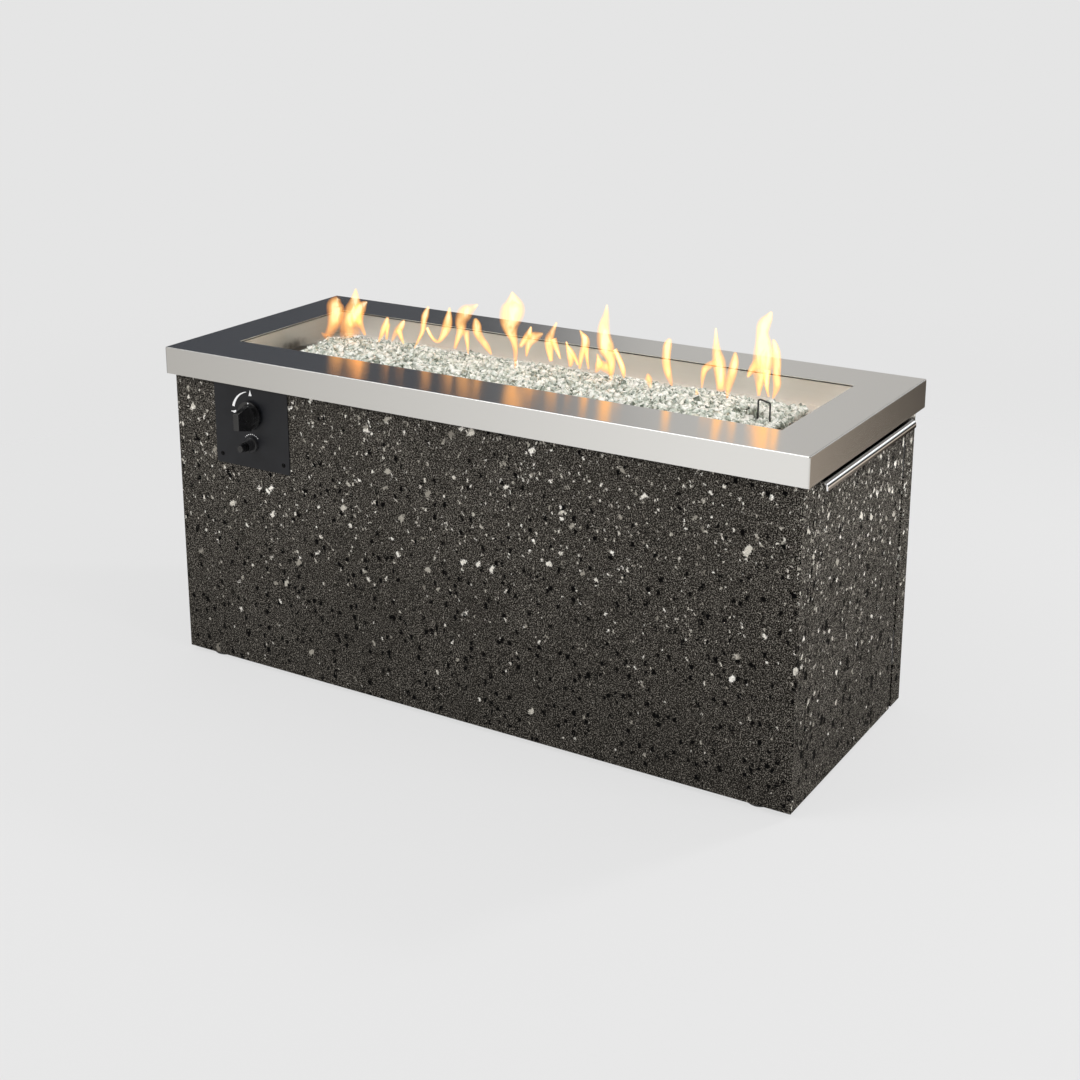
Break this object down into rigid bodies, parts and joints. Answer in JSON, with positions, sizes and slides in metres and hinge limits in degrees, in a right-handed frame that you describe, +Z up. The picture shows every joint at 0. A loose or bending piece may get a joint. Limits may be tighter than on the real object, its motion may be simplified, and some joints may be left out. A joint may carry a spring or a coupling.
{
  "type": "gas fire pit table",
  "caption": "Long rectangular gas fire table: brushed steel top with a glass-filled burner pan, dark cast-stone base, knob and igniter plate, and a hinged end door.",
  "frame": {"origin": "on the ground under the centre of the stone base", "axes": "+Z up, +X towards the end with the door, -Y towards the side with the controls"},
  "size_m": [1.252, 0.531, 0.589],
  "materials": {
    "top_steel": "brushed",
    "pan_steel": "brushed",
    "cast_stone": "matte, speckled",
    "black_metal": "satin powder coat",
    "zinc_steel": "zinc plated",
    "chrome": "polished",
    "black_plastic": "satin",
    "glass": "clear, broken pieces",
    "brass": "plain",
    "ceramic": "glazed",
    "rubber": "matte",
    "lead_sleeve": "matte",
    "cylinder_paint": "gloss",
    "grey_metal": "matte",
    "cell_wrap": "gloss"
  },
  "bodies": {
    "table": {"table_top": "top_steel", "top_studs": "zinc_steel", "top_nuts": "zinc_steel", "base_frame": "black_metal", "floor_plate": "black_metal", "front_panel": "cast_stone", "back_panel": "cast_stone", "left_panel": "cast_stone", "panel_bolts": "zinc_steel", "hinge_fixed_leaves": "black_metal", "hinge_pins": "black_metal", "magnet_catch": "black_plastic", "burner_pan": "pan_steel", "pan_cradles": "zinc_steel", "cradle_bolts": "zinc_steel", "shield_studs": "zinc_steel", "heat_shield": "zinc_steel", "burner_tube": "pan_steel", "burner_saddles": "zinc_steel", "igniter_electrode": "ceramic", "electrode_bracket": "zinc_steel", "electrode_guard": "black_metal", "fire_glass": "glass", "inlet_elbow": "brass", "air_mixer": "brass", "orifice_fitting": "brass", "gas_supply_tube": "zinc_steel", "pipe_nuts": "brass", "valve_body": "brass", "control_plate": "black_metal", "control_screws": "black_metal", "panel_nuts": "zinc_steel", "igniter_housing": "black_plastic", "igniter_ring": "black_metal", "battery": "cell_wrap", "ignition_lead": "lead_sleeve", "lead_clips": "zinc_steel", "gas_cylinder": "cylinder_paint", "cylinder_valve": "brass", "regulator": "grey_metal", "gas_hose": "rubber", "hose_clips": "zinc_steel"},
    "door": {"door_panel": "cast_stone", "door_backing": "black_metal", "door_pull": "chrome", "door_bolts": "zinc_steel", "pull_screws": "zinc_steel", "hinge_moving_leaves": "black_metal", "catch_strike": "zinc_steel"},
    "thrust_collar": {"stem_collar": "brass"},
    "control_knob": {"knob": "black_plastic", "valve_stem": "brass"},
    "push_button": {"igniter_button": "black_plastic"},
    "tank_wheel": {"handwheel": "black_plastic"},
    "foot_front_left_body": {"foot_front_left": "black_plastic"},
    "foot_front_right_body": {"foot_front_right": "black_plastic"},
    "foot_back_left_body": {"foot_back_left": "black_plastic"},
    "foot_back_right_body": {"foot_back_right": "black_plastic"}
  },
  "joints": [
    {"name": "door_hinge", "type": "hinge", "parent": "table", "child": "door", "pos_m": [0.607, 0.1925, 0.2], "axis": [0, 0, 1], "range_deg": [0, 95]},
    {"name": "knob_push", "type": "slide", "parent": "table", "child": "thrust_collar", "axis": [0, 1, 0], "range_m": [0, 0.003], "stiffness_N_per_m": 800, "springref_m": -0.004},
    {"name": "knob_turn", "type": "hinge", "parent": "thrust_collar", "child": "control_knob", "pos_m": [-0.4355, -0.2435, 0.4875], "axis": [0, -1, 0], "range_deg": [0, 90]},
    {"name": "igniter_push", "type": "slide", "parent": "table", "child": "push_button", "axis": [0, 1, 0], "range_m": [0, 0.004], "stiffness_N_per_m": 800, "springref_m": -0.004},
    {"name": "tank_wheel_turn", "type": "hinge", "parent": "table", "child": "tank_wheel", "pos_m": [0.37, 0, 0.456], "axis": [0, 0, 1], "range_deg": [0, 540]},
    {"name": "foot_front_left_level", "type": "slide", "parent": "table", "child": "foot_front_left_body", "axis": [0, 0, 1], "range_m": [-0.012, 0]},
    {"name": "foot_front_right_level", "type": "slide", "parent": "table", "child": "foot_front_right_body", "axis": [0, 0, 1], "range_m": [-0.012, 0]},
    {"name": "foot_back_left_level", "type": "slide", "parent": "table", "child": "foot_back_left_body", "axis": [0, 0, 1], "range_m": [-0.012, 0]},
    {"name": "foot_back_right_level", "type": "slide", "parent": "table", "child": "foot_back_right_body", "axis": [0, 0, 1], "range_m": [-0.012, 0]}
  ]
}
